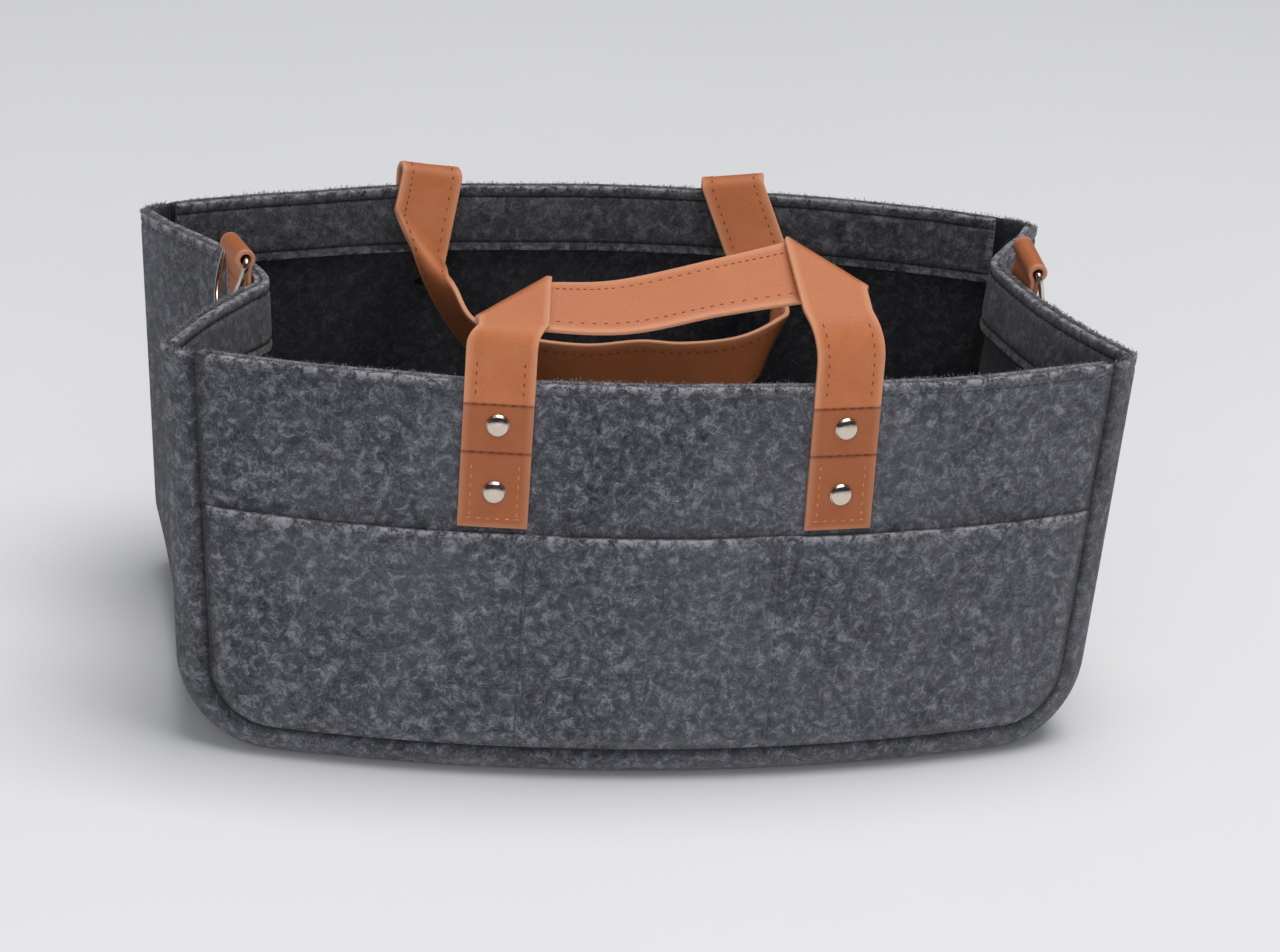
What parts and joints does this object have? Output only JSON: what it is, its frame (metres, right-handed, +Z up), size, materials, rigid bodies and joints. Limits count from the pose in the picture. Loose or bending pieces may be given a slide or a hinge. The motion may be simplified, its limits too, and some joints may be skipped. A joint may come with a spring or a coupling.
{
  "type": "felt nursing bag",
  "caption": "Open-topped grey felt carrier with a flat base, outer pockets, riveted leather strap handles and a hanging ring at each end.",
  "frame": {"origin": "on the supporting surface, under the middle of the bag's overall length and depth", "axes": "+X along the bag's length towards its right end seen from the front, +Y towards the back wall, +Z up"},
  "size_m": [0.4, 0.2846, 0.2179],
  "materials": {
    "felt": "mottled grey wool-look felt, fibrous and matt",
    "facing_felt": "the same felt in the shade of the rim, matt",
    "leather": "tan smooth leather-look strap with tonal stitching, satin",
    "nickel": "polished nickel plate"
  },
  "bodies": {
    "bag": {"front_panel": "felt", "front_pocket": "felt", "back_panel": "felt", "back_pocket": "felt", "gusset": "felt", "front_rim_facing": "facing_felt", "back_rim_facing": "facing_felt", "left_rim_facing": "facing_felt", "right_rim_facing": "facing_felt", "front_handle_anchor_left": "leather", "front_handle_anchor_right": "leather", "back_handle_anchor_left": "leather", "back_handle_anchor_right": "leather", "rivet_front_left_lower": "nickel", "rivet_front_left_upper": "nickel", "rivet_front_right_lower": "nickel", "rivet_front_right_upper": "nickel", "rivet_back_left_lower": "nickel", "rivet_back_left_upper": "nickel", "rivet_back_right_lower": "nickel", "rivet_back_right_upper": "nickel", "rivet_inner_front_left_lower": "nickel", "rivet_inner_front_left_upper": "nickel", "rivet_inner_front_right_lower": "nickel", "rivet_inner_front_right_upper": "nickel", "rivet_inner_back_left_lower": "nickel", "rivet_inner_back_left_upper": "nickel", "rivet_inner_back_right_lower": "nickel", "rivet_inner_back_right_upper": "nickel", "ring_tab_left": "leather", "ring_tab_right": "leather"},
    "front_handle": {"front_handle_strap": "leather"},
    "back_handle": {"back_handle_strap": "leather"},
    "left_ring": {"ring_left": "nickel"},
    "right_ring": {"ring_right": "nickel"}
  },
  "joints": [
    {"name": "front_handle_swing", "type": "hinge", "parent": "bag", "child": "front_handle", "pos_m": [0, -0.1388, 0.158], "axis": [1, 0, 0], "range_deg": [0, 170]},
    {"name": "back_handle_swing", "type": "hinge", "parent": "bag", "child": "back_handle", "pos_m": [0, 0.1383, 0.158], "axis": [-1, 0, 0], "range_deg": [0, 170]},
    {"name": "left_ring_swing", "type": "hinge", "parent": "bag", "child": "left_ring", "pos_m": [-0.16331, 0.0019, 0.17697], "axis": [-0.1963, 0.9805, 0], "range_deg": [-4, 155]},
    {"name": "right_ring_swing", "type": "hinge", "parent": "bag", "child": "right_ring", "pos_m": [0.17781, 0.00853, 0.17678], "axis": [0.0538, -0.9768, -0.2073], "range_deg": [-4, 155]}
  ]
}
